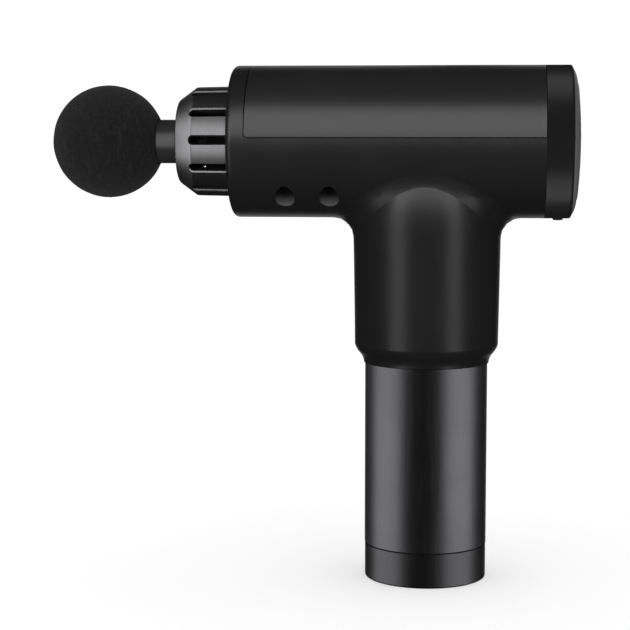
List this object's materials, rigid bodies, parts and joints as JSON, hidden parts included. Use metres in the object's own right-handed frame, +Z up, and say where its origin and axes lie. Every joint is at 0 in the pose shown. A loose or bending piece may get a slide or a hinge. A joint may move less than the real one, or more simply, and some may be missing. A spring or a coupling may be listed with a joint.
{
  "type": "massage gun",
  "caption": "Cordless percussion massage gun: a barrel on an upright tubular handle, with a ball head driven back and forth by a motor and yoke.",
  "frame": {"origin": "centre of the flat bottom of the handle, where the gun stands", "axes": "+Z up along the handle; the barrel lies along X and the massage head points to -X; +Y is across the barrel, towards the motor"},
  "size_m": [0.2376, 0.068, 0.2314],
  "materials": {
    "housing_shell": "matte",
    "cover_shell": "matte",
    "cap_shell": "satin",
    "grille_plastic": "satin",
    "button_plastic": "satin",
    "light_guide": "gloss",
    "collar_metal": "satin",
    "tube_metal": "satin",
    "base_metal": "satin",
    "seal_rubber": "matte",
    "ball_foam": "matte",
    "head_plastic": "gloss",
    "screw_steel": "satin",
    "machined_steel": "satin",
    "cast_aluminium": "satin",
    "guide_polymer": "matte",
    "winding_copper": "gloss",
    "magnet_coat": "satin",
    "stator_steel": "satin",
    "board_laminate": "satin",
    "chip_black": "satin",
    "fan_plastic": "matte",
    "cell_wrap": "satin",
    "link_nickel": "satin",
    "holder_plastic": "matte",
    "wire_sleeve": "satin",
    "switch_plastic": "satin",
    "rocker_plastic": "gloss",
    "contact_metal": "polished",
    "piston_metal": "satin"
  },
  "bodies": {
    "housing": {"main_housing": "housing_shell", "top_cover": "cover_shell", "rear_cap": "cap_shell", "cap_screw": "screw_steel", "cap_screw_plug": "seal_rubber", "rear_grille": "grille_plastic", "indicator_ring": "light_guide", "button_board": "board_laminate", "board_screws": "screw_steel", "button_switch": "switch_plastic", "indicator_leds": "light_guide", "front_collar": "collar_metal", "collar_screws": "screw_steel", "wiper_seal": "seal_rubber", "drive_frame": "cast_aluminium", "isolation_bushes": "seal_rubber", "frame_screws": "screw_steel", "front_isolator": "seal_rubber", "guide_sleeve": "guide_polymer", "motor_base": "cast_aluminium", "motor_screws": "screw_steel", "motor_stator": "stator_steel", "motor_windings": "winding_copper", "shaft_bearings": "machined_steel", "motor_controller": "board_laminate", "controller_parts": "chip_black", "controller_screws": "screw_steel", "battery_leads": "wire_sleeve", "motor_leads": "wire_sleeve", "battery_cells": "cell_wrap", "cell_links": "link_nickel", "lower_cell_holder": "holder_plastic", "middle_cell_holder": "holder_plastic", "upper_cell_holder": "holder_plastic", "battery_board": "board_laminate", "handle_tube": "tube_metal", "base_gasket": "seal_rubber", "base_cap": "base_metal", "base_screws": "screw_steel", "charge_jack": "switch_plastic", "jack_pin": "contact_metal", "switch_body": "switch_plastic", "housing_screws": "screw_steel"},
    "rotor": {"rotor_bell": "machined_steel", "rotor_magnets": "magnet_coat", "motor_shaft": "machined_steel", "cooling_fan": "fan_plastic", "crank_disc": "machined_steel", "crank_pin": "machined_steel"},
    "roller": {"pin_roller": "machined_steel"},
    "piston": {"drive_yoke": "machined_steel", "piston_rod": "piston_metal"},
    "massage_head": {"head_core": "head_plastic", "massage_ball": "ball_foam", "head_oring": "seal_rubber"},
    "speed_button": {"speed_button": "button_plastic"},
    "power_rocker": {"power_rocker": "rocker_plastic"}
  },
  "joints": [
    {"name": "motor_spin", "type": "hinge", "parent": "housing", "child": "rotor", "pos_m": [-0.01, 0, 0.1974], "axis": [0, 1, 0], "range_deg": [0, 180]},
    {"name": "roller_spin", "type": "hinge", "parent": "rotor", "child": "roller", "pos_m": [-0.004, 0, 0.1974], "axis": [0, 1, 0], "continuous": true},
    {"name": "piston_slide", "type": "slide", "parent": "housing", "child": "piston", "axis": [-1, 0, 0], "range_m": [0, 0.012]},
    {"name": "head_pull", "type": "slide", "parent": "piston", "child": "massage_head", "axis": [-1, 0, 0], "range_m": [0, 0.03]},
    {"name": "speed_press", "type": "slide", "parent": "housing", "child": "speed_button", "axis": [-1, 0, 0], "range_m": [0, 0.0008], "stiffness_N_per_m": 1500},
    {"name": "rocker_tilt", "type": "hinge", "parent": "housing", "child": "power_rocker", "pos_m": [0.011, 0, 0.006], "axis": [0, 1, 0], "range_deg": [0, 16]}
  ],
  "couplings": [
    {"joint": "motor_spin", "follows": "piston_slide", "rad_per_m": 261.8}
  ]
}
